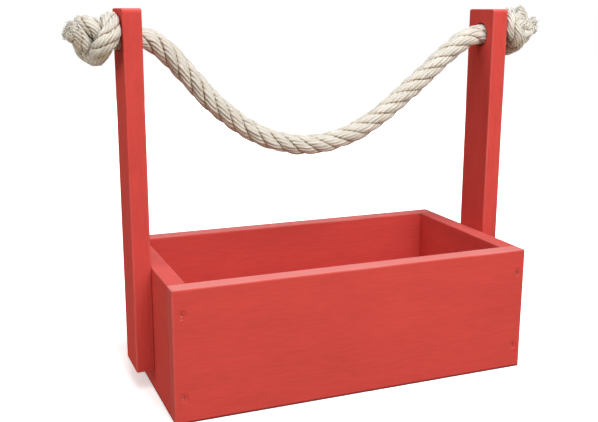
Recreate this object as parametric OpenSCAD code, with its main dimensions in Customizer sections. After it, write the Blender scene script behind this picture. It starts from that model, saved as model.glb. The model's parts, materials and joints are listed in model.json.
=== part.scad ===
// Painted timber storage box with two posts and a knotted rope handle.
// Millimetres, +Z up, +X along the box, -Y is the front. The origin is on the ground under the middle.

/* [Box] */
// Length of the box, over the ends of the front and back panels
box_l = 250; // [200:1:320]
// Width of the box, over the faces of the front and back panels
box_w = 136; // [110:1:200]
// Height of the walls above the ground
box_h = 86; // [70:1:120]
// Thickness of the four wall boards
board_t = 12; // [10:0.5:16]
// Thickness of the floor board, which lies between the walls
floor_t = 12; // [8:0.5:16]
// Radius of the eased edges on the wall boards
board_edge_r = 1; // [0.4:0.1:2]

/* [Posts] */
// Width of a post, across the end of the box
post_w = 31; // [24:1:44]
// Thickness of a post
post_t = 12; // [10:0.5:18]
// Height of a post's foot above the ground
post_foot_z = 15; // [10:1:25]
// Height of a post's top above the ground
post_top_z = 248; // [230:1:320]
// Radius of the eased edges on the posts
post_edge_r = 0.8; // [0.4:0.1:2]
// Radius of the front and back corners of a post's top
post_top_r = 3; // [2:0.5:6]

/* [Rope] */
// Diameter of the rope
rope_d = 13.5; // [11:0.5:15]
// How much wider than the rope its hole in a post is drilled
rope_hole_gap = 3.5; // [2:0.5:5]
// Depth of the rope hole's middle below the top of the post
rope_hole_drop = 18; // [15:1:30]
// Diameter that the rope is drawn down to in its knots
knot_rope_d = 8.2; // [7.6:0.1:9]
// Gap between a knot and the face of its post
knot_seat_gap = 0.3; // [0.2:0.1:1]

/* [Fasteners] */
// Shank diameter of the screws
screw_d = 3; // [2.5:0.1:4]
// Head diameter of the screws
screw_head_d = 6; // [5:0.1:8]
// Length of the screws that hold the front and back panels
wall_screw_l = 35; // [25:1:40]
// Length of the screws that hold the posts
post_screw_l = 20; // [16:1:21]
// Depth of a screw head below the face of its board
screw_sink = 0.3; // [0.1:0.1:1]
// Upper screws, down from the top edge of the walls
screw_from_top = 16; // [10:1:25]
// Lower screws, up from the ground
screw_from_ground = 17; // [15:1:25]
// Room for a screw shank in the board that its head pulls on
shank_gap = 0.2; // [0.1:0.1:0.5]
// Shank diameter of the brads that hold the floor board
brad_d = 1.4; // [1:0.1:2]
// Head diameter of the brads
brad_head_d = 2.6; // [2.2:0.1:4]
// Length of the brads
brad_l = 28; // [22:1:40]
// Pitch of the brads through the back panel
back_brad_pitch = 75; // [40:1:90]
// Pitch of the brads through an end panel
end_brad_pitch = 60; // [40:1:80]

/* [Hidden] */
$fn = 48;

// Overlap of a cut past the face that it opens
cut = 1;
// Inside and outside faces of the walls and posts
inner_l = box_l - 2 * board_t;
inner_w = box_w - 2 * board_t;
post_in_x = box_l / 2;
post_out_x = post_in_x + post_t;
// Middle of an end panel's thickness, where the wall screws bite
end_mid_x = box_l / 2 - board_t / 2;

// Screws and brads
screw_head_l = (screw_head_d - screw_d) / 2;
screw_tip_l = 1.5 * screw_d;
recess_l = 0.55 * screw_head_d;
recess_w = 0.14 * screw_head_d;
recess_depth = 0.6 * screw_head_l;
brad_head_l = 0.5 * brad_d;
wall_screw_zs = [screw_from_ground, box_h - screw_from_top];
// The post screws share the height where post and end panel lie together
post_lap = box_h - post_foot_z;
post_screw_zs = [post_foot_z + 0.28 * post_lap, post_foot_z + 0.72 * post_lap];
floor_mid_z = floor_t / 2;
back_brad_xs = [-back_brad_pitch, 0, back_brad_pitch];
end_brad_ys = [-end_brad_pitch / 2, end_brad_pitch / 2];

// Rope
rope_axis_z = post_top_z - rope_hole_drop;
rope_hole_d = rope_d + rope_hole_gap;
rope_sides = 12;
knot_sides = 10;
// The span's sag: distance along the box from its middle, and drop below the holes
rope_sag = [
    [-117, 1.5], [-109, 7], [-101, 15], [-93, 24], [-85, 33], [-76, 42.5], [-67, 50], [-58, 57],
    [-48, 63], [-38, 67.5], [-28, 70.5], [-18, 72.5], [-7, 73], [4, 72], [15, 69.5], [27, 65],
    [39, 58.5], [51, 50.5], [63, 41], [75, 31.5], [87, 21.5], [99, 12], [109, 5], [117, 1.2]
];
// Distance from the middle to a post that the sag is drawn for
sag_reach = 125;
// One half of an overhand knot, from its middle to where the rope leaves it
knot_half = [
    [0, 0, 12.5], [-0.5, 9, 12], [-3.5, 15.5, 8.5], [-8.5, 17.5, 2], [-10, 14.5, -7],
    [-10.5, 5.5, -12], [-8, -4, -10], [-1.5, -8.5, -5.5], [6, -3.5, 1], [9.5, -1, 3.5]
];
// Reach of the half towards its post
knot_reach = 10.65;
// Rope diameter that the points of a half are drawn for
knot_drawn_d = 10.75;
knot_unit = knot_rope_d / knot_drawn_d;
// Middle of a knot, out from the face of its post
knot_mid = knot_reach * knot_unit + knot_rope_d / 2 + knot_seat_gap;
// Turn of the knots about the rope's axis, where the axis lies in each, and its tail past the knot
knot_turn = 160;
left_knot_axis = [0, 2.5, 0.5];
right_knot_axis = [0, -1, 1.5];
left_tail = [[13, 2, 2], [17, 6, -1.5], [20, 8, -3], [23, 9.5, -4]];
right_tail = [[13.5, 0.5, 3], [17, 0.5, 0.5], [20, 1, -4]];
// Length of straight rope between a post's face and its knot, and rings that the rope narrows over
knot_lead = 1.5;
knot_taper_rings = 3;
// Steps of the knot's tube between two points
knot_steps = 3;

// Paint and rope colours
front_red = "#cc4b44";
end_red = "#a83c37";
post_red = "#d6544f";
inside_red = "#b03832";
rope_cream = "#e3dac9";
steel_grey = "#b9babc";
painted_head = "#c0463f";

// Points of a smooth curve through p, with n steps between two points
function past(p, i) =
    i < 0 ? 2 * p[0] - p[1]
    : i >= len(p) ? 2 * p[len(p) - 1] - p[len(p) - 2]
    : p[i];
function between(a, b, c, d, u) =
    0.5 * (2 * b + u * (c - a) + u * u * (2 * a - 5 * b + 4 * c - d) + u * u * u * (3 * b - a - 3 * c + d));
function smooth(p, n) = [
    for (i = [0 : len(p) - 2])
        for (k = [0 : n - 1])
            between(past(p, i - 1), p[i], p[i + 1], past(p, i + 2), k / n),
    p[len(p) - 1]
];

// Directions along a route, and normals carried along it without twist
function unit(v) = v / norm(v);
function heading(p, i) =
    i == 0 ? unit(p[1] - p[0])
    : i == len(p) - 1 ? unit(p[i] - p[i - 1])
    : unit(unit(p[i + 1] - p[i]) + unit(p[i] - p[i - 1]));
function square_to(n, t) = unit(n - (n * t) * t);
function carried_normals(p) = [
    for (i = 0, n = square_to([0, 0, 1], heading(p, 0));
         i < len(p);
         i = i + 1, n = i < len(p) ? square_to(n, heading(p, i)) : n)
        n
];

// A round tube along the points p with a radius for each point
module tube(p, radii, sides) {
    normals = carried_normals(p);
    rings = len(p);
    points = [
        for (i = [0 : rings - 1])
            let (side_way = cross(heading(p, i), normals[i]))
                for (k = [0 : sides - 1])
                    p[i] + radii[i] * (cos(360 * k / sides) * normals[i] + sin(360 * k / sides) * side_way)
    ];
    walls = [
        for (i = [0 : rings - 2])
            for (k = [0 : sides - 1])
                let (a = i * sides + k, b = i * sides + (k + 1) % sides)
                    each [[a, a + sides, b + sides], [a, b + sides, b]]
    ];
    last = (rings - 1) * sides;
    ends = [
        for (k = [1 : sides - 2])
            each [[0, k, k + 1], [last, last + k + 1, last + k]]
    ];
    polyhedron(points, concat(walls, ends));
}

// A rectangle with round corners, about its middle
module eased_rectangle(size, r) {
    square([size[0] - 2 * r, size[1]], center = true);
    square([size[0], size[1] - 2 * r], center = true);
    for (sx = [-1, 1], sy = [-1, 1])
        translate([sx * (size[0] / 2 - r), sy * (size[1] / 2 - r)])
            circle(r);
}

// A board with all its edges eased, about its middle
module eased_board(size, r) {
    intersection() {
        linear_extrude(size[2], center = true)
            eased_rectangle([size[0], size[1]], r);
        rotate([90, 0, 0])
            linear_extrude(size[1], center = true)
                eased_rectangle([size[0], size[2]], r);
        rotate([90, 0, 90])
            linear_extrude(size[0], center = true)
                eased_rectangle([size[1], size[2]], r);
    }
}

// A countersunk screw along +Z, with the face of its board at z = 0
module screw(l) {
    difference() {
        translate([0, 0, screw_sink]) {
            cylinder(h = screw_head_l, d1 = screw_head_d, d2 = screw_d);
            cylinder(h = l - screw_tip_l, d = screw_d);
            translate([0, 0, l - screw_tip_l])
                cylinder(h = screw_tip_l, d1 = screw_d, d2 = screw_d / 4);
        }
        for (turn = [0, 90])
            rotate(turn)
                translate([-recess_l / 2, -recess_w / 2, 0])
                    cube([recess_l, recess_w, screw_sink + recess_depth]);
    }
}

// The countersunk clearance hole for a screw, through a board of thickness t
module screw_hole(t) {
    translate([0, 0, -cut])
        cylinder(h = cut + screw_sink, d = screw_head_d);
    translate([0, 0, screw_sink])
        cylinder(h = screw_head_l, d1 = screw_head_d, d2 = screw_d);
    cylinder(h = t + cut, d = screw_d + shank_gap);
}

// The pilot hole that a screw of length l bites in, past a board of thickness t
module pilot_hole(l, t) {
    translate([0, 0, t - cut])
        cylinder(h = l + screw_sink - t + cut, d = screw_d);
}

// A brad along +Z with its head flush at z = 0, and the hole that it fills
module brad() {
    cylinder(h = brad_head_l, d = brad_head_d);
    cylinder(h = brad_l, d = brad_d);
}
module brad_hole() {
    translate([0, 0, -cut])
        cylinder(h = cut + brad_head_l, d = brad_head_d);
    cylinder(h = brad_l, d = brad_d);
}

// Places of the fasteners: side is -1 at the front or left, and 1 at the back or right
module at_wall_screws(y_side, x_side) {
    for (z = wall_screw_zs)
        translate([x_side * end_mid_x, y_side * box_w / 2, z])
            rotate([y_side * 90, 0, 0])
                children();
}
module at_post_screws(x_side) {
    for (z = post_screw_zs)
        translate([x_side * inner_l / 2, 0, z])
            rotate([0, x_side * 90, 0])
                children();
}
module at_back_brads() {
    for (x = back_brad_xs)
        translate([x, box_w / 2, floor_mid_z])
            rotate([90, 0, 0])
                children();
}
module at_end_brads(x_side) {
    for (y = end_brad_ys)
        translate([x_side * box_l / 2, y, floor_mid_z])
            rotate([0, -x_side * 90, 0])
                children();
}

// Front and back walls, which run the full length and cover the ends of the end panels
module long_panel(y_side) {
    difference() {
        translate([0, y_side * (box_w - board_t) / 2, box_h / 2])
            eased_board([box_l, board_t, box_h], board_edge_r);
        for (x_side = [-1, 1])
            at_wall_screws(y_side, x_side)
                screw_hole(board_t);
    }
}
module front_panel() {
    color(front_red)
        long_panel(-1);
}
module back_panel() {
    color(inside_red)
        difference() {
            long_panel(1);
            at_back_brads()
                brad_hole();
        }
}

// End walls, which stand between the front and back panels
module end_panel(x_side) {
    difference() {
        translate([x_side * end_mid_x, 0, box_h / 2])
            rotate([90, 0, 0])
                linear_extrude(inner_w, center = true)
                    eased_rectangle([board_t, box_h], board_edge_r);
        for (y_side = [-1, 1])
            at_wall_screws(y_side, x_side)
                pilot_hole(wall_screw_l, board_t);
        at_post_screws(x_side)
            screw_hole(board_t);
        at_end_brads(x_side)
            brad_hole();
    }
}
module left_end_panel() {
    color(end_red)
        end_panel(-1);
}
module right_end_panel() {
    color(end_red)
        end_panel(1);
}

// Floor board between the four walls
module floor_panel() {
    color(inside_red)
        difference() {
            translate([0, 0, floor_t / 2])
                cube([inner_l, inner_w, floor_t], center = true);
            at_back_brads()
                brad_hole();
            for (x_side = [-1, 1])
                at_end_brads(x_side)
                    brad_hole();
        }
}

// A post before it is bored, about its middle, with the corners of its top rounded over
module post_blank(size) {
    intersection() {
        eased_board(size, post_edge_r);
        rotate([90, 0, 90])
            linear_extrude(size[0], center = true) {
                eased_rectangle([size[1], size[2]], post_top_r);
                translate([0, -size[2] / 4])
                    square([size[1], size[2] / 2], center = true);
            }
    }
}

// Posts on the outside of the end walls, bored for the rope
module post(x_side) {
    difference() {
        translate([x_side * (post_in_x + post_out_x) / 2, 0, (post_foot_z + post_top_z) / 2])
            post_blank([post_t, post_w, post_top_z - post_foot_z]);
        translate([x_side * (post_in_x + post_out_x) / 2, 0, rope_axis_z])
            rotate([0, 90, 0])
                cylinder(h = post_t + 2 * cut, d = rope_hole_d, center = true);
        at_post_screws(x_side)
            pilot_hole(post_screw_l, board_t);
    }
}
module left_post() {
    color(post_red)
        post(-1);
}
module right_post() {
    color(post_red)
        post(1);
}

// The rope between the posts, straight in its holes and slack between them
module rope_span() {
    sag = [for (p = rope_sag) [p[0] * post_in_x / sag_reach, 0, rope_axis_z - p[1]]];
    route = concat(
        [[-post_out_x, 0, rope_axis_z], [-post_in_x, 0, rope_axis_z]],
        sag,
        [[post_in_x, 0, rope_axis_z], [post_out_x, 0, rope_axis_z]]
    );
    color(rope_cream)
        tube(route, [for (p = route) rope_d / 2], rope_sides);
}

// An overhand knot: two turns through each other, mirrored about the knot's middle. The rope comes
// straight from its post to the first turn, without the half's last point.
// Out is the way from the post along X, and axis is where the rope's axis lies in the knot.
module knot(out, axis, tail) {
    halves = concat(
        [for (i = [len(knot_half) - 2 : -1 : 1]) [-knot_half[i][0], -knot_half[i][1], knot_half[i][2]]],
        knot_half,
        tail
    );
    turns = [for (p = halves) knot_unit * (p - axis) + [knot_mid, 0, 0]];
    flat_route = concat([[0, 0, 0]], smooth(concat([[knot_lead, 0, 0]], turns), knot_steps));
    route = [
        for (p = flat_route)
            [
                out * (post_out_x + p[0]),
                p[1] * cos(knot_turn) - p[2] * sin(knot_turn),
                rope_axis_z + p[1] * sin(knot_turn) + p[2] * cos(knot_turn)
            ]
    ];
    // The rope is drawn down from its full size over the first rings
    taper = [for (i = [0 : len(route) - 1]) min(1, i / knot_taper_rings)];
    radii = [for (t = taper) (rope_d + (knot_rope_d - rope_d) * t) / 2];
    tube(route, radii, knot_sides);
}
module left_knot() {
    color(rope_cream)
        knot(-1, left_knot_axis, left_tail);
}
module right_knot() {
    color(rope_cream)
        knot(1, right_knot_axis, right_tail);
}

// Screws through the front and back panels into the ends of the end panels
module front_left_screws() {
    color(painted_head)
        at_wall_screws(-1, -1)
            screw(wall_screw_l);
}
module front_right_screws() {
    color(painted_head)
        at_wall_screws(-1, 1)
            screw(wall_screw_l);
}
module back_left_screws() {
    color(painted_head)
        at_wall_screws(1, -1)
            screw(wall_screw_l);
}
module back_right_screws() {
    color(painted_head)
        at_wall_screws(1, 1)
            screw(wall_screw_l);
}

// Screws from inside the box through the end panels into the posts
module left_post_screws() {
    color(painted_head)
        at_post_screws(-1)
            screw(post_screw_l);
}
module right_post_screws() {
    color(painted_head)
        at_post_screws(1)
            screw(post_screw_l);
}

// Brads through the back and end walls into the edge of the floor board
module back_floor_brads() {
    color(steel_grey)
        at_back_brads()
            brad();
}
module left_floor_brads() {
    color(steel_grey)
        at_end_brads(-1)
            brad();
}
module right_floor_brads() {
    color(steel_grey)
        at_end_brads(1)
            brad();
}

front_panel();
back_panel();
left_end_panel();
right_end_panel();
floor_panel();
left_post();
right_post();
rope_span();
left_knot();
right_knot();
front_left_screws();
front_right_screws();
back_left_screws();
back_right_screws();
left_post_screws();
right_post_screws();
back_floor_brads();
left_floor_brads();
right_floor_brads();
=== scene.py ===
"""Dress the rope handle storage box.

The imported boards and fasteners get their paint. The rope, its two knots and their frayed ends are
laid strand by strand along the rope's own route, and a plain pale studio stands round them.
"""
import json
import math
from typing import NamedTuple

import bpy
import numpy as np
from bpy.props import FloatProperty, FloatVectorProperty, IntProperty, PointerProperty
from mathutils import Matrix, Vector


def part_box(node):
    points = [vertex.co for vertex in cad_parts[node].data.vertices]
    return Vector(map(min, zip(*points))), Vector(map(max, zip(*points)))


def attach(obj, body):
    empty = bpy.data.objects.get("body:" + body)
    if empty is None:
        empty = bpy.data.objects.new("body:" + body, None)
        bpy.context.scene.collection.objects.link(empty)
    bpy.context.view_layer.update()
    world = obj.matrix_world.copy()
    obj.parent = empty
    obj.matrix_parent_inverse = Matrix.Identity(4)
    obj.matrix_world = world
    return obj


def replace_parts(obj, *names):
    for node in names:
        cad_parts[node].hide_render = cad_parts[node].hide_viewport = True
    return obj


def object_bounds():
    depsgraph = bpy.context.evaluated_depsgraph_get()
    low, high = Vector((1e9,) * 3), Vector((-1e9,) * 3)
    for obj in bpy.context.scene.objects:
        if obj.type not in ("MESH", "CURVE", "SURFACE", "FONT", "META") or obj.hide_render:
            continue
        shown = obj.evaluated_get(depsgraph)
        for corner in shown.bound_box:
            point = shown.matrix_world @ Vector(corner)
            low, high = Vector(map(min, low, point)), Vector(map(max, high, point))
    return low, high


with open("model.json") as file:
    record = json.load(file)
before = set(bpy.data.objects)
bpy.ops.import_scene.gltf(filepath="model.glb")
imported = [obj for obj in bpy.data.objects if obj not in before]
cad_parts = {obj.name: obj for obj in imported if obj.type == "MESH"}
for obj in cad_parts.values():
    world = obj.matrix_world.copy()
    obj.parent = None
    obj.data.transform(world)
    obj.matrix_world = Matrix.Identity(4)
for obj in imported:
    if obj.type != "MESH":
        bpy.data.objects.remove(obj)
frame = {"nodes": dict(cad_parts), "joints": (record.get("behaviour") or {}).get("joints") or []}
CAD_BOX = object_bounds()

bl_info = {
    "name": "Rope Handle Storage Box",
    "version": (1, 0, 0),
    "blender": (4, 5, 0),
    "location": "3D View > Sidebar > Storage Box",
    "description": "Paints a timber storage box and lays its knotted rope handle",
    "category": "Object",
}

X, Y, Z = range(3)


class Board(NamedTuple):
    """A board: the axes of its grain and its thickness, how much painted sheen its edges get, and how thin
    its paint is on its ends.
    """

    grain: int
    through: int
    painted_edge_sheen: float
    end_wear: float


BOARDS = {
    "front_panel": Board(grain=X, through=Y, painted_edge_sheen=0.86, end_wear=0.2),
    "back_panel": Board(grain=X, through=Y, painted_edge_sheen=0.6, end_wear=0.2),
    "floor_panel": Board(grain=X, through=Z, painted_edge_sheen=0.0, end_wear=0.0),
    "left_end_panel": Board(grain=Y, through=X, painted_edge_sheen=0.12, end_wear=0.0),
    "right_end_panel": Board(grain=Y, through=X, painted_edge_sheen=0.24, end_wear=0.0),
    "left_post": Board(grain=Z, through=X, painted_edge_sheen=0.0, end_wear=0.5),
    "right_post": Board(grain=Z, through=X, painted_edge_sheen=0.0, end_wear=0.5),
}
# Fasteners, with the axis that each node's shanks run along
FASTENERS = {
    "front_left_screws": Y,
    "front_right_screws": Y,
    "back_left_screws": Y,
    "back_right_screws": Y,
    "left_post_screws": X,
    "right_post_screws": X,
    "back_floor_brads": Y,
    "left_floor_brads": X,
    "right_floor_brads": X,
}

# Paint: strokes per metre across the grain and along it, then clouds, pores and specks per metre
FINE_GRAIN = (620, 90)
BROAD_GRAIN = (75, 12)
CLOUDS = 18
PORES = 1500
SPECKS = 900
# How much the fine strokes, the broad ones and the clouds change the tone of the boards
FINE_TONE = 0.24
BROAD_TONE = 0.2
CLOUD_TONE = 0.12
# Roughness of the boards, and how much the strokes and the end grain change it
BOARD_ROUGHNESS = 0.78
FINE_ROUGHNESS = 0.14
BROAD_ROUGHNESS = 0.1
END_ROUGHNESS = 0.18
# Relief of the boards: its depth in metres, and the shares of broad strokes, pores, and pores on faces
GRAIN_RELIEF = 0.00012
BROAD_RELIEF = 0.5
PORE_RELIEF = 0.35
FACE_PORES = 0.4
# How far a surface looks along the grain to be an end, and through the board to be a face
END_LOOK = (0.45, 0.85)
FACE_LOOK = (0.35, 0.8)
# Rubbed arris, lighter both as worn paint and as a painted highlight: its reach in metres, the clouds that
# it shows in, and how much lighter it is
ARRIS = (0.0003, 0.0017)
ARRIS_CLOUDS = (0.3, 0.75)
ARRIS_WEAR_AND_HIGHLIGHT = 0.3
# Painted sheen on the edges of a board: the share of it that is everywhere, and how much the clouds add
EVEN_EDGE_SHEEN = 0.7
CLOUD_EDGE_SHEEN = 0.5
# Painted shadow at the foot, where a board meets the floor: its height in metres, and its strength
FOOT_LINE = (0.0008, 0.002)
FOOT_SHADE = 0.95
# Recess of a head: its depth, where it gets lighter paint as painted light against its shade, the reach of
# its painted shade spot in metres, and that spot's strength
RECESS_DEPTH = (0.00025, 0.0006)
RECESS_SPOT = (0.0003, 0.0009)
SPOT_SHADE = 0.5
# Tone and roughness of the heads, and how much the specks change them
HEAD_TONE = 0.92
SPECK_TONE = 0.16
HEAD_ROUGHNESS = 0.7
SPECK_ROUGHNESS = 0.2

# Rope route in metres: the line through the holes, and the faces of the posts
ROPE_AXIS_Z = frame["joints"][0]["pos_m"][Z]
POST_OUT_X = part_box("right_post")[1].x
POST_IN_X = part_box("right_post")[0].x
# The span's sag: distance along the box from its middle, and drop below the holes
ROPE_SAG = [
    (-0.117, 0.0015), (-0.109, 0.007), (-0.101, 0.015), (-0.093, 0.024), (-0.085, 0.033), (-0.076, 0.0425),
    (-0.067, 0.05), (-0.058, 0.057), (-0.048, 0.063), (-0.038, 0.0675), (-0.028, 0.0705), (-0.018, 0.0725),
    (-0.007, 0.073), (0.004, 0.072), (0.015, 0.0695), (0.027, 0.065), (0.039, 0.0585), (0.051, 0.0505),
    (0.063, 0.041), (0.075, 0.0315), (0.087, 0.0215), (0.099, 0.012), (0.109, 0.005), (0.117, 0.0012),
]
# One half of an overhand knot, from its middle to where the rope leaves it
KNOT_HALF = [
    (0, 0, 0.0125), (-0.0005, 0.009, 0.012), (-0.0035, 0.0155, 0.0085), (-0.0085, 0.0175, 0.002),
    (-0.01, 0.0145, -0.007), (-0.0105, 0.0055, -0.012), (-0.008, -0.004, -0.01),
    (-0.0015, -0.0085, -0.0055), (0.006, -0.0035, 0.001), (0.0095, -0.001, 0.0035),
]
# Size of the knots' solids: their rope, and the rope that the points are drawn for
KNOT_SOLID_ROPE = 0.0082
KNOT_DRAWN_ROPE = 0.01075
KNOT_UNIT = KNOT_SOLID_ROPE / KNOT_DRAWN_ROPE
# The knots' turn about the rope, their middle out from the post, and the straight rope before them
KNOT_TURN = math.radians(160)
KNOT_MID = 0.01252
KNOT_LEAD = 0.0015
# Steps between two points of a route, and the fewest rings on a line
ROUTE_STEPS = 24
LEAST_RINGS = 3
# A line that leans more than this to the Y axis where it sets out takes its first side from Z
NEAR_Y = 0.9


class Knot(NamedTuple):
    """A knot: its way out from the post, where the rope's axis lies in it, the points of its tail and of
    its loose strands, and how far its frayed threads splay and reach.
    """

    out: int
    axis: tuple
    tail: list
    loose: list
    fray_spread: float
    fray_reach: float


KNOTS = {
    "left_knot": Knot(
        out=-1,
        axis=(0, 0.0025, 0.0005),
        tail=[
            (0.013, 0.002, 0.002), (0.017, 0.006, -0.0015), (0.02, 0.008, -0.003), (0.023, 0.0095, -0.004),
        ],
        loose=[],
        fray_spread=0.45,
        fray_reach=0.0005,
    ),
    "right_knot": Knot(
        out=1,
        axis=(0, -0.001, 0.0015),
        tail=[(0.0135, 0.0005, 0.003), (0.017, 0.0005, 0.0005), (0.02, 0.001, -0.004)],
        loose=[
            [(0.0185, 0.0, -0.01), (0.0185, 0.0, -0.0165), (0.0135, 0.0, -0.022)],
            [(0.0225, 0.001, -0.008), (0.0295, 0.001, -0.0105)],
            [(0.0225, -0.001, -0.003), (0.03, -0.002, -0.0045)],
            [(0.0125, 0.001, -0.01), (0.004, 0.001, -0.0155), (0.0045, 0.0, -0.0215)],
        ],
        fray_spread=0.5,
        fray_reach=0.0013,
    ),
}

# Lay of the rope: its strands, half the angle that one fills, and the turn of the first
STRANDS = 4
STRAND_WEDGE = math.pi / STRANDS
FIRST_TURN = math.radians(20)
# A strand's section in shares of the rope's radius: how far out its middle lies, and its outer round
STRAND_SEAT = 0.55
STRAND_LOBE = 0.68
# How square a strand's corners are, half the gap to the next one, and the width of their valley
STRAND_CORNER = 8
STRAND_GAP = 0.00006
VALLEY_WIDTH = 0.0007
# Heights of five points across a yarn, and its turns against each turn of its strand
YARN_SHAPE = np.array([-1.0, 0.15, 0.55, 0.55, 0.15])
YARN_COUNTER_TURN = 1.0
# How uneven the yarns are, and the lengths in metres over which they change
RIBS_VARY = 0.6
RIBS_WAVE = 0.05
SWELL = 0.9
SWELL_WAVE = 0.03
WAVE_SPREAD = (0.7, 1.6)
# Map of the yarns: the length of its unit, and the numbers kept for each strand's yarns
YARN_LENGTH = 0.0015
YARN_NUMBERS = 40

# Knots: the length over which the rope thins, and how its turns press on one another and on the post
KNOT_TAPER = 0.006
KNOT_GAP = 0.00015
POST_CLEARANCE = 0.0002
LEAST_ROOM = 0.0002
PRESS_SOFTNESS = 0.0012
TINY = 1e-9

# Loose strands: radius, opening, ribs and swell, and the painted shade at their roots that fades from the
# rope's end
LOOSE_RADIUS = 0.0026
LOOSE_FLARE = 0.45
LOOSE_RIBS = 1.8
LOOSE_SWELL_WAVE = 0.02
LOOSE_VALLEY = 0.9
LOOSE_ROOT = 0.005
# Rings from the rope's end back to the one that a loose strand sets out from
LOOSE_OVERLAP = 8
# Frayed threads: their radius, the share of it that they lose towards the tip, and their sides and points
THREAD_RADIUS = 0.00027
THREAD_TAPER = 0.5
THREAD_SIDES = 5
THREAD_STEP = 0.0012
THREAD_CURVE_STEPS = 4
THREAD_PARTS = (0, 0.4, 0.7, 1)
# Roots of the threads: their depth in the strand, their scatter, and their shares of the way to its rim
THREAD_ROOT = 0.003
THREAD_SCATTER = 0.0003
FRAY_SHARES = (0.9, 0.75, 0.6, 0.4, 0.2)
# Threads at each yarn, and the numbers on the map that are kept for each
THREADS_PER_YARN = 3
THREAD_NUMBERS = 10
# How the threads splay, reach, stray and curl
FRAY_SPLAY = (0.3, 1.5)
FRAY_REACH = (-0.2, 1.3)
FRAY_STRAY = 0.07
FRAY_CURL = 0.16
# Stray hairs: how many, their size, how they lift and stray, and their distance from the posts
SPAN_HAIRS = 120
KNOT_HAIRS = 60
HAIR_RADIUS = 0.00005
HAIR_SIDES = 3
HAIR_PARTS = (0, 0.35, 0.7, 1)
HAIR_LENGTH = (0.002, 0.0045)
HAIR_ROOT = 0.85
HAIR_LIFT = 0.35
HAIR_CURL = 0.2
HAIR_STRAY = (-0.2, 0.2)
HAIR_NUMBERS = 100
HAIR_CLEARANCE = 0.001
# Seeds of the random numbers
SPAN_SEED = 10
KNOT_SEED = 20

# Fibre: noise per yarn across and per unit of the yarns' map along, and patches per metre
YARN_WANDER = (0.9, 0.16, 1.0)
FIBRES = (7.0, 0.35, 1.0)
PATCHES = 150
# How far the yarns wander, the place of the line between two of them, and the patches that it shows in
WANDER_REACH = 0.6
YARN_LINE = (0.55, 1.0)
LINE_PATCHES = (0.25, 0.7)
# Tone of the rope, and how much its fibres, yarns and patches change it
ROPE_TONE = 0.87
FIBRE_TONE = 0.22
YARN_TONE = 0.18
PATCH_TONE = 0.14
# Tan painted shade in the valleys, everywhere and in patches, then between yarns; and plain tan in the
# darkest patches
VALLEY_SHADE = 0.2
VALLEY_PATCH_SHADE = 0.65
VALLEY_PATCHES = (0.3, 0.65)
LINE_SHADE = 0.6
PATCH_SHADE = 0.2
DARK_PATCHES = (0.55, 0.8)
# Roughness of the rope, how much its fibres change it, and their relief in metres
ROPE_ROUGHNESS = 0.5
FIBRE_ROUGHNESS = 0.2
FIBRE_RELIEF = 0.00012


class Lamp(NamedTuple):
    """A square soft lamp: its place in metres, the length of its sides, and whether its light is warm."""

    place: tuple
    size: float
    warm: bool


LAMPS = {
    "key": Lamp(place=(0.0, -0.9, 1.5), size=1.0, warm=False),
    "back": Lamp(place=(0.4, 1.7, 0.6), size=1.0, warm=False),
    "right": Lamp(place=(0.4, -1.3, 0.85), size=1.0, warm=True),
    "left": Lamp(place=(-2.6, 0.0, 1.2), size=2.0, warm=True),
}
# Floor: its size, the distance over which it brightens, and its colours as seen and as it lights the box
FLOOR_RADIUS = 4.0
FLOOR_SIDES = 96
GLOW_REACH = 0.045
FLOOR_SEEN = (0.95, 0.95, 0.95, 1.0)
FLOOR_BOUNCE = (0.34, 0.28, 0.18, 1.0)
# Camera that the box is seen by: place in metres, its turn, fall and roll in degrees, and its lens in mm
CAMERA_PLACE = (-0.24003, -0.55122, 0.24792)
CAMERA_TURN = 22.074
CAMERA_FALL = 13.0
CAMERA_ROLL = 0.146
CAMERA_LENS = 52.76
CAMERA_SENSOR = 36.0
CAMERA_NEAR = 0.01


class RopeSizes(bpy.types.PropertyGroup):
    """Sizes of the rope, its strands and yarns."""

    diameter: FloatProperty(
        name="Diameter", description="Rope over its strands", default=0.0135, unit="LENGTH"
    )
    knot_diameter: FloatProperty(
        name="Knot Diameter", description="Rope drawn down in a knot", default=0.0121, unit="LENGTH"
    )
    knot_lay_length: FloatProperty(
        name="Knot Lay Length",
        description="Rope for one turn of a strand in a knot",
        default=0.0333,
        unit="LENGTH",
    )
    lay_length: FloatProperty(
        name="Lay Length", description="Rope for one turn of a strand", default=0.0496, unit="LENGTH"
    )
    yarns: IntProperty(name="Yarns", description="Yarns round each strand", default=9, min=3)
    yarn_depth: FloatProperty(
        name="Yarn Depth", description="Groove between two yarns", default=0.00038, unit="LENGTH"
    )
    ring_step: FloatProperty(
        name="Ring Step", description="Rope between two rings of points", default=0.00066, unit="LENGTH"
    )


class BoxColours(bpy.types.PropertyGroup):
    """Colours of the paint and the rope."""

    paint: FloatVectorProperty(
        name="Paint", description="Paint on the faces", default=(0.625, 0.074, 0.064), subtype="COLOR"
    )
    # Lighter paint: thin paint on the ends, and also painted sheen, highlight and light on edges, arrises
    # and recesses
    thin_and_lit_paint: FloatVectorProperty(
        name="Thin Paint", description="Paint rubbed thin", default=(0.72, 0.245, 0.232), subtype="COLOR"
    )
    # Painted shade: the dark spot in a screw's recess, and the painted shadow at the foot of the boards
    recess: FloatVectorProperty(
        name="Recess",
        description="Dark spot in a screw's recess, and line at the foot",
        default=(0.16, 0.014, 0.012),
        subtype="COLOR",
    )
    fibre: FloatVectorProperty(
        name="Fibre", description="Rope on its crowns", default=(0.655, 0.64, 0.59), subtype="COLOR"
    )
    # Tan painted shade between strands and yarns, also the tan of the darkest patches
    fibre_tan_and_painted_shade: FloatVectorProperty(
        name="Fibre Shade", description="Rope between strands", default=(0.4, 0.295, 0.195), subtype="COLOR"
    )


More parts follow.
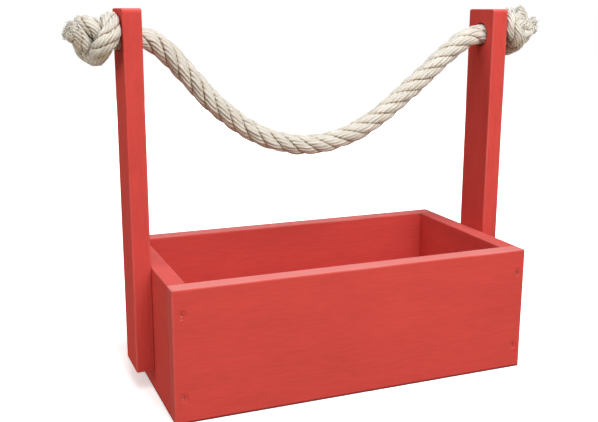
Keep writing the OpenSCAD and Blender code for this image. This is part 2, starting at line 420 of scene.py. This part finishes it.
class StageLights(bpy.types.PropertyGroup):
    """Strength of the studio's light."""

    key: FloatProperty(name="Key", description="Lamp high in front", default=25.5, unit="POWER")
    right: FloatProperty(name="Right", description="Lamp at the front right", default=9.9, unit="POWER")
    left: FloatProperty(name="Left", description="Lamp at the left", default=31.0, unit="POWER")
    back: FloatProperty(name="Back", description="Lamp low behind", default=14.0, unit="POWER")
    warmth: FloatVectorProperty(
        name="Warmth", description="Colour of the side lamps", default=(1.0, 0.94, 0.87), subtype="COLOR"
    )
    sky: FloatProperty(
        name="Sky", description="Light from all round", default=0.05, min=0.0, max=1.0, subtype="FACTOR"
    )
    near_glow: FloatProperty(
        name="Near Glow",
        description="White added to the floor by the box",
        default=0.42,
        min=0.0,
        max=1.0,
        subtype="FACTOR",
    )
    far_glow: FloatProperty(
        name="Far Glow",
        description="White added to the floor far from it",
        default=1.0,
        min=0.0,
        max=1.0,
        subtype="FACTOR",
    )


class Wire:
    """A socket that takes part in sums, products and the like."""

    def __init__(self, nodes, socket):
        self.nodes = nodes
        self.socket = socket

    def maths(self, operation, *values):
        return self.nodes.add("ShaderNodeMath", {"operation": operation}, dict(enumerate(values)))

    def __add__(self, other):
        return self.maths("ADD", self, other)

    __radd__ = __add__

    def __sub__(self, other):
        return self.maths("SUBTRACT", self, other)

    def __rsub__(self, other):
        return self.maths("SUBTRACT", other, self)

    def __mul__(self, other):
        return self.maths("MULTIPLY", self, other)

    __rmul__ = __mul__

    def __abs__(self):
        return self.maths("ABSOLUTE", self)

    def floor(self):
        return self.maths("FLOOR", self)

    def root(self):
        return self.maths("SQRT", self)

    def least(self, other):
        return self.maths("MINIMUM", self, other)

    def most(self, other):
        return self.maths("MAXIMUM", self, other)

    def step(self, low, high):
        """Rise smoothly from 0 at low to 1 at high."""
        return self.nodes.add(
            "ShaderNodeMapRange",
            {"interpolation_type": "SMOOTHSTEP"},
            {"Value": self, "From Min": low, "From Max": high},
        )


class Nodes:
    """A node tree that is written node by node."""

    def __init__(self, tree):
        self.tree = tree
        tree.nodes.clear()

    @staticmethod
    def socket(sockets, key):
        """A node's socket, by its number or by its name among those in use."""
        if isinstance(key, int):
            return sockets[key]
        return next(s for s in sockets if s.name == key and not s.is_unavailable)

    def add(self, kind, settings=None, sockets=None, out=0):
        """Add a node of that type, with its settings first and then its sockets' values or links."""
        node = self.tree.nodes.new(kind)
        for key, value in (settings or {}).items():
            setattr(node, key, value)
        for key, value in (sockets or {}).items():
            socket = self.socket(node.inputs, key)
            if isinstance(value, Wire):
                self.tree.links.new(value.socket, socket)
            else:
                socket.default_value = value
        return Wire(self, self.socket(node.outputs, out)) if node.outputs else None

    def mix(self, factor, first, second):
        """Blend two colours."""
        first, second = (c if isinstance(c, Wire) else (*c, 1.0) for c in (first, second))
        sockets = {"Factor": factor, "A": first, "B": second}
        return self.add("ShaderNodeMix", {"data_type": "RGBA"}, sockets, "Result")

    def scale(self, colour, amount):
        """Make a colour lighter or darker."""
        return self.add("ShaderNodeVectorMath", {"operation": "SCALE"}, {"Vector": colour, "Scale": amount})

    def split(self, vector):
        """The three parts of a vector."""
        return [self.add("ShaderNodeSeparateXYZ", None, {"Vector": vector}, axis) for axis in "XYZ"]

    def noise(self, vector, scale, detail):
        """Noise from 0 to 1, with a scale for each axis."""
        mapped = self.add("ShaderNodeMapping", None, {"Vector": vector, "Scale": scale})
        sockets = {"Vector": mapped, "Scale": 1.0, "Detail": detail}
        return self.add("ShaderNodeTexNoise", None, sockets)

    def bump(self, height, distance, strength):
        """A relief for a shader's normal."""
        sockets = {"Height": height, "Distance": distance, "Strength": strength}
        return self.add("ShaderNodeBump", None, sockets)

    def surface(self, sockets):
        """End a material's tree with a shader of those values and links."""
        shader = self.add("ShaderNodeBsdfPrincipled", None, sockets)
        self.add("ShaderNodeOutputMaterial", None, {"Surface": shader})


def new_finish(name):
    """A material and its empty node tree."""
    material = bpy.data.materials.new(name)
    material.use_nodes = True
    return material, Nodes(material.node_tree)


def depths_inside(name, parts):
    """How far a place lies inside a node's box along each axis."""
    low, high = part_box(name)
    return [(h - l) / 2 - abs(p - (h + l) / 2) for p, l, h in zip(parts, low, high)]


def board_paint(name, board, colours):
    """Satin paint over planed softwood, brushed along the grain of one board."""
    material, nodes = new_finish(f"paint_{name}")
    place = nodes.add("ShaderNodeTexCoord", out="Object")
    facing = nodes.add("ShaderNodeTexCoord", out="Normal")

    def streaks(strokes, detail):
        across, lengthwise = strokes
        scale = [across] * 3
        scale[board.grain] = lengthwise
        return nodes.noise(place, scale, detail)

    fine = streaks(FINE_GRAIN, detail=3.0)
    broad = streaks(BROAD_GRAIN, detail=2.0)
    cloud = nodes.noise(place, [CLOUDS] * 3, detail=1.0)
    pores = nodes.noise(place, [PORES] * 3, detail=1.0)

    facings = nodes.split(facing)
    end_face = abs(facings[board.grain]).step(*END_LOOK)
    edge_face = 1 - abs(facings[board.through]).step(*FACE_LOOK)
    # Distance to the nearest arris: the second least of the distances to the faces
    parts = nodes.split(place)
    inset = depths_inside(name, parts)
    least = inset[X].least(inset[Y]).least(inset[Z])
    most = inset[X].most(inset[Y]).most(inset[Z])
    arris = inset[X] + inset[Y] + inset[Z] - least - most
    # Rubbed arris: worn paint and a painted highlight, lighter where the clouds show
    arris_wear_and_highlight = ARRIS_WEAR_AND_HIGHLIGHT * ((1 - arris.step(*ARRIS)) * cloud.step(*ARRIS_CLOUDS))
    end_wear = board.end_wear * end_face
    # Painted sheen: the edges of the board are lighter in the clouds' pattern, standing in for reflected
    # light
    painted_edge_sheen = board.painted_edge_sheen * edge_face * (1 - end_face) * (EVEN_EDGE_SHEEN + CLOUD_EDGE_SHEEN * cloud)

    tone = 1 + FINE_TONE * (fine - 0.5) + BROAD_TONE * (broad - 0.5) + CLOUD_TONE * (cloud - 0.5)
    colour = nodes.scale(colours.paint, tone)
    # Lighter paint: thin on the ends and rubbed arrises, and as painted sheen and highlight on the edges
    thin = (arris_wear_and_highlight + (end_wear + painted_edge_sheen)).least(1.0)
    colour = nodes.mix(thin, colour, colours.thin_and_lit_paint)
    # Painted shadow: a dark line along the foot of the board, where it meets the floor
    foot = 1 - parts[Z].step(*FOOT_LINE)
    colour = nodes.mix(FOOT_SHADE * foot, colour, colours.recess)
    roughness = BOARD_ROUGHNESS + FINE_ROUGHNESS * (fine - 0.5) + BROAD_ROUGHNESS * (broad - 0.5)
    height = fine + BROAD_RELIEF * broad + PORE_RELIEF * pores * (FACE_PORES + end_face)
    nodes.surface({
        "Base Color": colour,
        "Roughness": roughness + END_ROUGHNESS * end_face,
        "Specular IOR Level": 0.03,
        "Normal": nodes.bump(height, distance=GRAIN_RELIEF, strength=0.5),
    })
    return material


def fastener_paint(name, through, colours):
    """Paint over steel, lighter in the recess of each head as painted light against its shade, with a
    painted shade spot at its middle.
    """
    material, nodes = new_finish(f"paint_{name}")
    place = nodes.add("ShaderNodeTexCoord", out="Object")
    low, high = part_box(name)
    inset = depths_inside(name, nodes.split(place))
    across = Y if through == X else X
    head_radius = (high - low)[across] / 2
    off_middle = abs(inset[across] - head_radius).most(abs(inset[Z] - head_radius))
    speck = nodes.noise(place, [SPECKS] * 3, detail=2.0)
    # Lighter paint in the recess as painted light, and a painted shade spot at its middle
    deep = inset[through].step(*RECESS_DEPTH)
    spot = SPOT_SHADE * deep * (1 - off_middle.step(*RECESS_SPOT))
    colour = nodes.scale(colours.paint, HEAD_TONE + SPECK_TONE * speck)
    colour = nodes.mix(deep, colour, colours.thin_and_lit_paint)
    colour = nodes.mix(spot, colour, colours.recess)
    nodes.surface({
        "Base Color": colour,
        "Roughness": HEAD_ROUGHNESS + SPECK_ROUGHNESS * speck,
        "Specular IOR Level": 0.06,
    })
    return material


def paint_node(name, material):
    """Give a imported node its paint."""
    slots = frame["nodes"][name].data.materials
    slots.clear()
    slots.append(material)


def rope_fibre(colours):
    """Cream natural fibre: yarns along the map's second axis, with tan painted shade between the strands
    and their yarns.
    """
    material, nodes = new_finish("rope_fibre")
    place = nodes.add("ShaderNodeTexCoord", out="Object")
    yarn_map = nodes.add("ShaderNodeUVMap", {"uv_map": "yarns"})
    across, _, _ = nodes.split(yarn_map)
    valley = nodes.add("ShaderNodeAttribute", {"attribute_name": "valley"}, out="Fac")
    wander = nodes.noise(yarn_map, YARN_WANDER, detail=2.0)
    fibres = nodes.noise(yarn_map, FIBRES, detail=3.0)
    patches = nodes.noise(place, [PATCHES] * 3, detail=3.0)
    # Yarns wander a little, and the line between two of them gets painted shade, darker in some places than
    # in others
    wandered = across + WANDER_REACH * (wander - 0.5)
    yarn = wandered.floor()
    yarn_tone = nodes.add("ShaderNodeTexWhiteNoise", {"noise_dimensions": "1D"}, {"W": yarn})
    between = (2 * abs(wandered - yarn - 0.5)).step(*YARN_LINE) * patches.step(*LINE_PATCHES)
    tone = ROPE_TONE + FIBRE_TONE * fibres + YARN_TONE * (yarn_tone - 0.5) + PATCH_TONE * (patches - 0.5)
    colour = nodes.scale(colours.fibre, tone)
    # Painted shade in tan in the valleys between strands and on the lines between yarns; tan in the darkest
    # patches
    seam = valley * (VALLEY_SHADE + VALLEY_PATCH_SHADE * patches.step(*VALLEY_PATCHES))
    shade = (seam + LINE_SHADE * between + PATCH_SHADE * patches.step(*DARK_PATCHES)).least(1.0)
    colour = nodes.mix(shade, colour, colours.fibre_tan_and_painted_shade)
    nodes.surface({
        "Base Color": colour,
        "Roughness": ROPE_ROUGHNESS + FIBRE_ROUGHNESS * fibres,
        "Specular IOR Level": 0.45,
        "Normal": nodes.bump(fibres, distance=FIBRE_RELIEF, strength=0.7),
    })
    return material


def smooth_curve(points, steps):
    """Points of a smooth curve through the given ones."""
    p = np.asarray(points, float)
    p = np.vstack([2 * p[0] - p[1], p, 2 * p[-1] - p[-2]])
    u = np.linspace(0, 1, steps, endpoint=False)[:, None]
    runs = [
        0.5 * (2 * b + u * (c - a) + u**2 * (2 * a - 5 * b + 4 * c - d) + u**3 * (3 * b - a - 3 * c + d))
        for a, b, c, d in zip(p, p[1:], p[2:], p[3:])
    ]
    return np.vstack(runs + [p[-2:-1]])


def spread_round(sides):
    """Angles of that many points spread evenly round a ring."""
    return 2 * math.pi * np.arange(sides) / sides


class Line:
    """A rope's centreline in even steps, with directions carried along it without twist."""

    def __init__(self, points, step):
        lengths = np.concatenate([[0], np.cumsum(np.linalg.norm(np.diff(points, axis=0), axis=1))])
        self.length = float(lengths[-1])
        self.at = np.linspace(0, self.length, max(LEAST_RINGS, round(self.length / step) + 1))
        self.points = np.column_stack([np.interp(self.at, lengths, points[:, k]) for k in (X, Y, Z)])
        along = np.gradient(self.points, axis=0)
        self.along = along / np.linalg.norm(along, axis=1)[:, None]
        side = np.array((0.0, 1.0, 0.0))
        if abs(self.along[0, Y]) > NEAR_Y:
            side = np.array((0.0, 0.0, 1.0))
        self.side = np.empty_like(self.points)
        for i, way in enumerate(self.along):
            side = side - way * (side @ way)
            side = side / np.linalg.norm(side)
            self.side[i] = side
        self.other = np.cross(self.along, self.side)

    def rings(self, first, second):
        """Points at the two offsets from the line, one ring for each step."""
        return (
            self.points[:, None]
            + first[..., None] * self.side[:, None]
            + second[..., None] * self.other[:, None]
        )


class RopeMesh:
    """Closed tubes gathered into one mesh, with a map of their yarns and the depth of their valleys."""

    def __init__(self):
        self.points = []
        self.faces = []
        self.corners = []
        self.valley = []
        self.count = 0

    def add(self, rings, line, yarns, first_yarn, valley):
        """Add one tube from its rings of points along a line, closed at both ends."""
        rows, sides = rings.shape[:2]
        lengths = line.at / YARN_LENGTH
        index = self.count + np.arange(rows * sides).reshape(rows, sides)
        turned = np.roll(index, -1, axis=1)
        across = first_yarn + yarns * np.arange(sides + 1) / sides
        quads = np.stack([index[:-1], turned[:-1], turned[1:], index[1:]], axis=-1).reshape(-1, 4)
        u = np.stack([across[:-1], across[1:], across[1:], across[:-1]], axis=-1)
        u = np.broadcast_to(u, (rows - 1, sides, 4))
        v = np.stack([lengths[:-1], lengths[:-1], lengths[1:], lengths[1:]], axis=-1)
        v = np.broadcast_to(v[:, None], (rows - 1, sides, 4))
        first_middle = self.count + rows * sides
        last_middle = first_middle + 1
        first_cap = np.column_stack([np.full(sides, first_middle), turned[0], index[0]])
        last_cap = np.column_stack([np.full(sides, last_middle), index[-1], turned[-1]])
        self.points += [rings.reshape(-1, 3), rings[0].mean(0)[None], rings[-1].mean(0)[None]]
        self.faces += quads.tolist() + first_cap.tolist() + last_cap.tolist()
        cap_u = np.stack([across[:-1], across[1:], across[:-1]], axis=-1).ravel()
        self.corners += [
            np.column_stack([u.ravel(), v.ravel()]),
            np.column_stack([cap_u, np.full(len(cap_u), lengths[0])]),
            np.column_stack([cap_u, np.full(len(cap_u), lengths[-1])]),
        ]
        self.valley += [np.broadcast_to(valley, (rows, sides)).ravel(), np.zeros(2)]
        self.count += rows * sides + 2

    def make(self, name, material):
        """The finished piece, which rides on the rope handle."""
        mesh = bpy.data.meshes.new(name)
        mesh.from_pydata(np.vstack(self.points).tolist(), [], self.faces)
        mesh.uv_layers.new(name="yarns").data.foreach_set("uv", np.vstack(self.corners).ravel())
        depth = mesh.attributes.new("valley", "FLOAT", "POINT")
        depth.data.foreach_set("value", np.concatenate(self.valley))
        mesh.shade_smooth()
        mesh.materials.append(material)
        piece = bpy.data.objects.new(name, mesh)
        bpy.context.collection.objects.link(piece)
        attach(piece, "rope_handle")
        return piece


def yarn_waves(rng, yarns, at, wavelength):
    """Slow random waves along a length, from -1 to 1 for each yarn, repeated for the points across it."""
    phases = rng.uniform(0, 2 * math.pi, (2, yarns))
    rates = 2 * math.pi / (wavelength * rng.uniform(*WAVE_SPREAD, (2, yarns)))
    waves = np.sin(at[:, None, None] * rates + phases).mean(1)
    return np.repeat(waves, len(YARN_SHAPE), axis=1)


def yarn_ribs(rng, yarns, at):
    """Ribs of the yarns round a strand, deeper in some places than in others."""
    return np.tile(YARN_SHAPE, yarns) * (1 + RIBS_VARY * yarn_waves(rng, yarns, at, RIBS_WAVE))


def strand_rings(line, sizes, strand, radius, lay_length, first_turn, rng):
    """Rings of one strand: a rounded wedge of the rope, ribbed by its yarns, and its valley depth."""
    lay_turn = 2 * math.pi * line.at / lay_length
    turn = (first_turn + lay_turn + 2 * math.pi * strand / STRANDS)[:, None]
    spokes = spread_round(sizes.yarns * len(YARN_SHAPE))
    # Angle of each point from straight outwards, as the strand turns one way and its yarns the other
    facing = spokes - YARN_COUNTER_TURN * lay_turn[:, None] - turn
    facing = (facing + math.pi) % (2 * math.pi) - math.pi
    radius = radius[:, None]
    seat = STRAND_SEAT * radius
    lobe = STRAND_LOBE * radius
    beyond = seat - (radius - lobe)
    crown = -beyond * np.cos(facing) + np.sqrt(lobe**2 - (beyond * np.sin(facing)) ** 2)
    wall = seat * math.sin(STRAND_WEDGE) - STRAND_GAP
    near_wall = np.maximum(0, np.sin(np.abs(facing) - STRAND_WEDGE)) / wall
    far_wall = np.maximum(0, np.sin(np.abs(facing) - math.pi + STRAND_WEDGE)) / wall
    # The least of the three reaches, with rounded corners where one gives way to another
    inverse = crown**-STRAND_CORNER + near_wall**STRAND_CORNER + far_wall**STRAND_CORNER
    reach = inverse ** (-1 / STRAND_CORNER)
    ribs = yarn_ribs(rng, sizes.yarns, line.at)
    swell = yarn_waves(rng, sizes.yarns, line.at, SWELL_WAVE)
    reach = reach + sizes.yarn_depth * (ribs + SWELL * swell)
    out = seat + reach * np.cos(facing)
    beside = reach * np.sin(facing)
    to_wall = out * math.sin(STRAND_WEDGE) - np.abs(beside) * math.cos(STRAND_WEDGE)
    # Nearness to the gap between strands, which the fibre's material darkens as painted shade
    valley = np.exp(-np.maximum(to_wall, 0) / VALLEY_WIDTH)
    first = out * np.cos(turn) - beside * np.sin(turn)
    second = out * np.sin(turn) + beside * np.cos(turn)
    return line.rings(first, second), valley


def loose_rings(line, sizes, rng):
    """Rings of a strand that has come away from the rope, ribbed by its yarns."""
    spokes = spread_round(sizes.yarns * len(YARN_SHAPE))
    turned = spokes - 2 * math.pi * line.at[:, None] / sizes.lay_length
    ribs = yarn_ribs(rng, sizes.yarns, line.at)
    swell = yarn_waves(rng, sizes.yarns, line.at, LOOSE_SWELL_WAVE)
    opened = 1 + LOOSE_FLARE * (line.at / line.length)[:, None] ** 2
    reach = LOOSE_RADIUS * opened + sizes.yarn_depth * (LOOSE_RIBS * ribs + swell)
    return line.rings(reach * np.cos(turned), reach * np.sin(turned))


def bent(root, reach, way, curl, parts):
    """Points of a thread that sets out one way from its root and curls off it."""
    return [root + reach * (t * way + t * t * curl) for t in parts]


def add_thread(mesh, points, radius, sides, yarn):
    """Add a thin thread that tapers towards its tip."""
    line = Line(smooth_curve(points, THREAD_CURVE_STEPS), THREAD_STEP)
    spokes = spread_round(sides)
    reach = radius * (1 - THREAD_TAPER * line.at / line.length)[:, None]
    rings = line.rings(reach * np.cos(spokes), reach * np.sin(spokes))
    mesh.add(rings, line, yarns=1, first_yarn=yarn, valley=0.0)


def fray(mesh, ring, along, knot, rng):
    """Splay fine threads out of the yarns in the last ring of a strand."""
    middle = ring.mean(0)
    rims = ring.reshape(-1, len(YARN_SHAPE), 3).mean(1)
    for share in FRAY_SHARES:
        for number, rim in enumerate(np.repeat(rims, THREADS_PER_YARN, axis=0)):
            outward = (rim - middle) / np.linalg.norm(rim - middle)
            root = middle + share * (rim - middle) - THREAD_ROOT * along + rng.normal(0, THREAD_SCATTER, 3)
            splay = knot.fray_spread * share * rng.uniform(*FRAY_SPLAY) * outward
            way = along + splay + rng.normal(0, FRAY_STRAY, 3)
            reach = THREAD_ROOT + knot.fray_reach * rng.uniform(*FRAY_REACH)
            curl = rng.normal(0, FRAY_CURL, 3) - splay
            points = bent(root, reach, way, curl, THREAD_PARTS)
            add_thread(mesh, points, THREAD_RADIUS, THREAD_SIDES, THREAD_NUMBERS * number + share)


def raise_hairs(mesh, line, radius, count, rng):
    """Raise stray hairs off the rope, clear of the posts."""
    for _ in range(count):
        i = rng.integers(len(line.at))
        turn = rng.uniform(0, 2 * math.pi)
        outward = math.cos(turn) * line.side[i] + math.sin(turn) * line.other[i]
        root = line.points[i] + HAIR_ROOT * radius[i] * outward
        way = rng.choice((-1, 1)) * line.along[i] + HAIR_LIFT * outward + rng.uniform(*HAIR_STRAY, 3)
        reach = rng.uniform(*HAIR_LENGTH)
        curl = HAIR_CURL * outward + rng.uniform(*HAIR_STRAY, 3)
        points = bent(root, reach, way, curl, HAIR_PARTS)
        from_middle = np.abs(np.array(points)[:, X])
        between_posts = from_middle.max() < POST_IN_X - HAIR_CLEARANCE
        outside_posts = from_middle.min() > POST_OUT_X + HAIR_CLEARANCE
        if between_posts or outside_posts:
            add_thread(mesh, points, HAIR_RADIUS, HAIR_SIDES, rng.integers(HAIR_NUMBERS))


def soft_least(a, b, softness):
    """The lesser of two lengths, eased where they are alike."""
    share = np.clip(0.5 + 0.5 * (b - a) / softness, 0, 1)
    return b * (1 - share) + a * share - softness * share * (1 - share)


def press_turns(rings, line, out):
    """Press a knot's turns flat where they meet one another or the face of their post."""
    pressed = np.empty_like(rings)
    for i, middle in enumerate(line.points):
        spokes = rings[i] - middle
        reach = np.linalg.norm(spokes, axis=1)
        ways = spokes / reach[:, None]
        # Room up to half the way to the other turns, and a metre and more where a way leads off from them
        others = line.points - middle
        toward = np.maximum(ways @ others.T, TINY)
        turn_room = ((others**2).sum(1) / (2 * toward) + (toward <= TINY)).min(1) - KNOT_GAP
        to_post = np.maximum(-out * ways[:, X], TINY)
        post_room = (out * middle[X] - POST_OUT_X - POST_CLEARANCE) / to_post
        room = np.maximum(np.minimum(turn_room, post_room), LEAST_ROOM)
        pressed[i] = middle + ways * soft_least(reach, room, PRESS_SOFTNESS)[:, None]
    return pressed


def by_post(knot, flat):
    """Turn a knot's points about the rope's axis and set them against its post."""
    cos = math.cos(KNOT_TURN)
    sin = math.sin(KNOT_TURN)
    return np.column_stack([
        knot.out * (POST_OUT_X + flat[:, X]),
        flat[:, Y] * cos - flat[:, Z] * sin,
        ROPE_AXIS_Z + flat[:, Y] * sin + flat[:, Z] * cos,
    ])


def from_drawn(knot, drawn):
    """Points of a knot out from its post, from those it is drawn with."""
    return KNOT_UNIT * (np.array(drawn) - knot.axis) + (KNOT_MID, 0, 0)


def knot_route(knot):
    """Points of a knot's centreline, from the face of its post to the end of its tail."""
    half = np.array(KNOT_HALF)
    turns = from_drawn(knot, np.vstack([half[-2:0:-1] * (-1, -1, 1), half, knot.tail]))
    flat = smooth_curve(np.vstack([[(KNOT_LEAD, 0, 0)], turns]), ROUTE_STEPS)
    return by_post(knot, np.vstack([[(0, 0, 0)], flat]))


def span_route():
    """Points of the span's centreline, from the outer face of the left post to that of the right."""
    held = [(-POST_OUT_X, 0), (-POST_IN_X, 0), *ROPE_SAG, (POST_IN_X, 0), (POST_OUT_X, 0)]
    return smooth_curve([(x, 0, ROPE_AXIS_Z - drop) for x, drop in held], ROUTE_STEPS)


class BoxStep:
    """What the operators share: each can be undone and run again."""

    bl_options = {"REGISTER", "UNDO"}


class BOX_OT_set_stage(BoxStep, bpy.types.Operator):
    """Set the pale floor, the soft lamps and the camera"""

    bl_idname = "storage_box.set_stage"
    bl_label = "Set Stage"

    def execute(self, context):
        lights = context.scene.stage_lights
        bpy.ops.object.select_all(action="DESELECT")
        bpy.ops.mesh.primitive_circle_add(vertices=FLOOR_SIDES, radius=FLOOR_RADIUS, fill_type="NGON")
        floor = context.object
        floor.name = "floor"
        floor.data.materials.append(self.floor_finish(lights))
        for name, lamp in LAMPS.items():
            light = self.add_lamp(f"{name}_lamp", lamp.place, lamp.size, getattr(lights, name))
            if lamp.warm:
                light.data.color = lights.warmth
        self.light_sky(context, lights.sky)
        self.place_camera(context)
        context.scene.view_settings.view_transform = "Standard"
        return {"FINISHED"}

    @staticmethod
    def seen(nodes):
        """One where the camera sees the surface, also in a reflection or through glass."""
        ways = [
            nodes.add("ShaderNodeLightPath", out=way)
            for way in ("Is Camera Ray", "Is Glossy Ray", "Is Transmission Ray")
        ]
        return (ways[0] + ways[1] + ways[2]).least(1.0)

    def floor_finish(self, lights):
        """Matt white that shows the shadow of the box, and glows where it is seen away from it."""
        material, nodes = new_finish("floor_white")
        place = nodes.add("ShaderNodeTexCoord", out="Object")
        foot = (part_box("front_panel")[1].x, -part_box("front_panel")[0].y)
        past = [(abs(p) - reach).most(0.0) for p, reach in zip(nodes.split(place), foot)]
        away = (past[X] * past[X] + past[Y] * past[Y]).root()
        glow = lights.near_glow + (lights.far_glow - lights.near_glow) * away.step(0.0, GLOW_REACH)
        sockets = {"Color": nodes.scale((1, 1, 1), glow), "Strength": 1.0}
        light = nodes.add("ShaderNodeEmission", None, sockets)
        pale = nodes.add("ShaderNodeBsdfDiffuse", None, {"Color": FLOOR_SEEN})
        dim = nodes.add("ShaderNodeBsdfDiffuse", None, {"Color": FLOOR_BOUNCE})
        lit = nodes.add("ShaderNodeAddShader", None, {0: pale, 1: light})
        shader = nodes.add("ShaderNodeMixShader", None, {0: self.seen(nodes), 1: dim, 2: lit})
        nodes.add("ShaderNodeOutputMaterial", None, {"Surface": shader})
        return material

    @staticmethod
    def add_lamp(name, place, size, power):
        """A square soft lamp, aimed at the middle of the box."""
        bpy.ops.object.light_add(type="AREA", location=place)
        lamp = bpy.context.object
        lamp.name = name
        lamp.data.size = size
        lamp.data.energy = power
        middle = (CAD_BOX[0] + CAD_BOX[1]) / 2
        lamp.rotation_euler = (middle - Vector(place)).to_track_quat("-Z", "Y").to_euler()
        return lamp

    def light_sky(self, context, level):
        """Even light from all round, white where it is seen."""
        world = bpy.data.worlds.new("studio")
        world.use_nodes = True
        context.scene.world = world
        nodes = Nodes(world.node_tree)
        strength = level + (1 - level) * self.seen(nodes)
        shader = nodes.add("ShaderNodeBackground", None, {"Color": (1, 1, 1, 1), "Strength": strength})
        nodes.add("ShaderNodeOutputWorld", None, {"Surface": shader})

    @staticmethod
    def place_camera(context):
        """The camera, turned, dipped and rolled by its angles."""
        turn, fall, roll = (math.radians(a) for a in (CAMERA_TURN, CAMERA_FALL, CAMERA_ROLL))
        look = Vector((
            math.sin(turn) * math.cos(fall),
            math.cos(turn) * math.cos(fall),
            -math.sin(fall),
        ))
        level = Vector((math.cos(turn), -math.sin(turn), 0))
        upright = level.cross(look)
        right = math.cos(roll) * level + math.sin(roll) * upright
        up = math.cos(roll) * upright - math.sin(roll) * level
        bpy.ops.object.camera_add()
        camera = context.object
        camera.name = "camera"
        camera.data.lens = CAMERA_LENS
        camera.data.sensor_width = CAMERA_SENSOR
        camera.data.clip_start = CAMERA_NEAR
        stand = Matrix((right, up, -look)).transposed().to_4x4()
        stand.translation = CAMERA_PLACE
        camera.matrix_world = stand
        context.scene.camera = camera


class BOX_OT_tie_knots(BoxStep, bpy.types.Operator):
    """Tie the overhand knot at each end of the rope"""

    bl_idname = "storage_box.tie_knots"
    bl_label = "Tie Knots"

    def execute(self, context):
        sizes = context.scene.rope_sizes
        material = rope_fibre(context.scene.box_colours)
        span = Line(span_route(), sizes.ring_step)
        last_turn = FIRST_TURN + 2 * math.pi * span.length / sizes.lay_length
        starts = {"left_knot": -FIRST_TURN, "right_knot": last_turn}
        for seed, (node, knot) in enumerate(KNOTS.items(), KNOT_SEED):
            rng = np.random.default_rng(seed)
            line = Line(knot_route(knot), sizes.ring_step)
            thinned = np.minimum(line.at / KNOT_TAPER, 1)
            radius = (sizes.diameter + (sizes.knot_diameter - sizes.diameter) * thinned) / 2
            mesh = RopeMesh()
            for strand in range(STRANDS):
                rings, valley = strand_rings(
                    line, sizes, strand, radius, sizes.knot_lay_length, starts[node], rng
                )
                rings = press_turns(rings, line, knot.out)
                mesh.add(rings, line, sizes.yarns, YARN_NUMBERS * strand, valley)
                way = line.along[-1]
                if knot.loose:
                    rings, way = self.loosen(mesh, rings, knot, strand, sizes, rng)
                fray(mesh, rings[-1], way, knot, rng)
            raise_hairs(mesh, line, radius, KNOT_HAIRS, rng)
            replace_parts(mesh.make(f"{node}_rope", material), node)
        return {"FINISHED"}

    @staticmethod
    def loosen(mesh, rings, knot, strand, sizes, rng):
        """Carry a strand on from the rope's end along its own curve."""
        middles = rings.mean(1)
        ends = by_post(knot, from_drawn(knot, knot.loose[strand]))
        points = np.vstack([middles[-LOOSE_OVERLAP], middles[-1], ends])
        line = Line(smooth_curve(points, ROUTE_STEPS), sizes.ring_step)
        rings = loose_rings(line, sizes, rng)
        # Painted shade at the root of the loose strand, fading towards its tip
        valley = LOOSE_VALLEY * np.exp(-line.at / LOOSE_ROOT)[:, None]
        mesh.add(rings, line, sizes.yarns, YARN_NUMBERS * strand, valley)
        return rings, line.along[-1]


class BOX_OT_lay_span(BoxStep, bpy.types.Operator):
    """Lay the slack rope between the posts"""

    bl_idname = "storage_box.lay_span"
    bl_label = "Lay Rope Span"

    def execute(self, context):
        sizes = context.scene.rope_sizes
        rng = np.random.default_rng(SPAN_SEED)
        line = Line(span_route(), sizes.ring_step)
        radius = np.full(len(line.at), sizes.diameter / 2)
        mesh = RopeMesh()
        for strand in range(STRANDS):
            rings, valley = strand_rings(line, sizes, strand, radius, sizes.lay_length, FIRST_TURN, rng)
            mesh.add(rings, line, sizes.yarns, YARN_NUMBERS * strand, valley)
        raise_hairs(mesh, line, radius, SPAN_HAIRS, rng)
        piece = mesh.make("rope_span_rope", bpy.data.materials["rope_fibre"])
        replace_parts(piece, "rope_span")
        return {"FINISHED"}


class BOX_OT_paint_boards(BoxStep, bpy.types.Operator):
    """Paint the boards and the posts"""

    bl_idname = "storage_box.paint_boards"
    bl_label = "Paint Boards"

    def execute(self, context):
        for name, board in BOARDS.items():
            paint_node(name, board_paint(name, board, context.scene.box_colours))
        return {"FINISHED"}


class BOX_OT_paint_fasteners(BoxStep, bpy.types.Operator):
    """Paint the screws and the brads"""

    bl_idname = "storage_box.paint_fasteners"
    bl_label = "Paint Fasteners"

    def execute(self, context):
        for name, through in FASTENERS.items():
            paint_node(name, fastener_paint(name, through, context.scene.box_colours))
        return {"FINISHED"}


GROUPS = {"rope_sizes": RopeSizes, "box_colours": BoxColours, "stage_lights": StageLights}
OPERATORS = [
    BOX_OT_set_stage,
    BOX_OT_tie_knots,
    BOX_OT_lay_span,
    BOX_OT_paint_boards,
    BOX_OT_paint_fasteners,
]


class BOX_PT_tools(bpy.types.Panel):
    """Sizes, colours and steps of the storage box"""

    bl_idname = "BOX_PT_tools"
    bl_label = "Storage Box"
    bl_space_type = "VIEW_3D"
    bl_region_type = "UI"
    bl_category = "Storage Box"

    def draw(self, context):
        for group_name, group in GROUPS.items():
            for name in group.__annotations__:
                self.layout.prop(getattr(context.scene, group_name), name)
        for operator in OPERATORS:
            self.layout.operator(operator.bl_idname)


def register():
    for cls in [*GROUPS.values(), *OPERATORS, BOX_PT_tools]:
        bpy.utils.register_class(cls)
    for name, group in GROUPS.items():
        setattr(bpy.types.Scene, name, PointerProperty(type=group))


def unregister():
    for name in GROUPS:
        delattr(bpy.types.Scene, name)
    for cls in [BOX_PT_tools, *reversed(OPERATORS), *GROUPS.values()]:
        bpy.utils.unregister_class(cls)


def main():
    register()
    bpy.ops.storage_box.set_stage()
    bpy.ops.storage_box.tie_knots()
    bpy.ops.storage_box.lay_span()
    bpy.ops.storage_box.paint_boards()
    bpy.ops.storage_box.paint_fasteners()


if __name__ == "__main__":
    main()
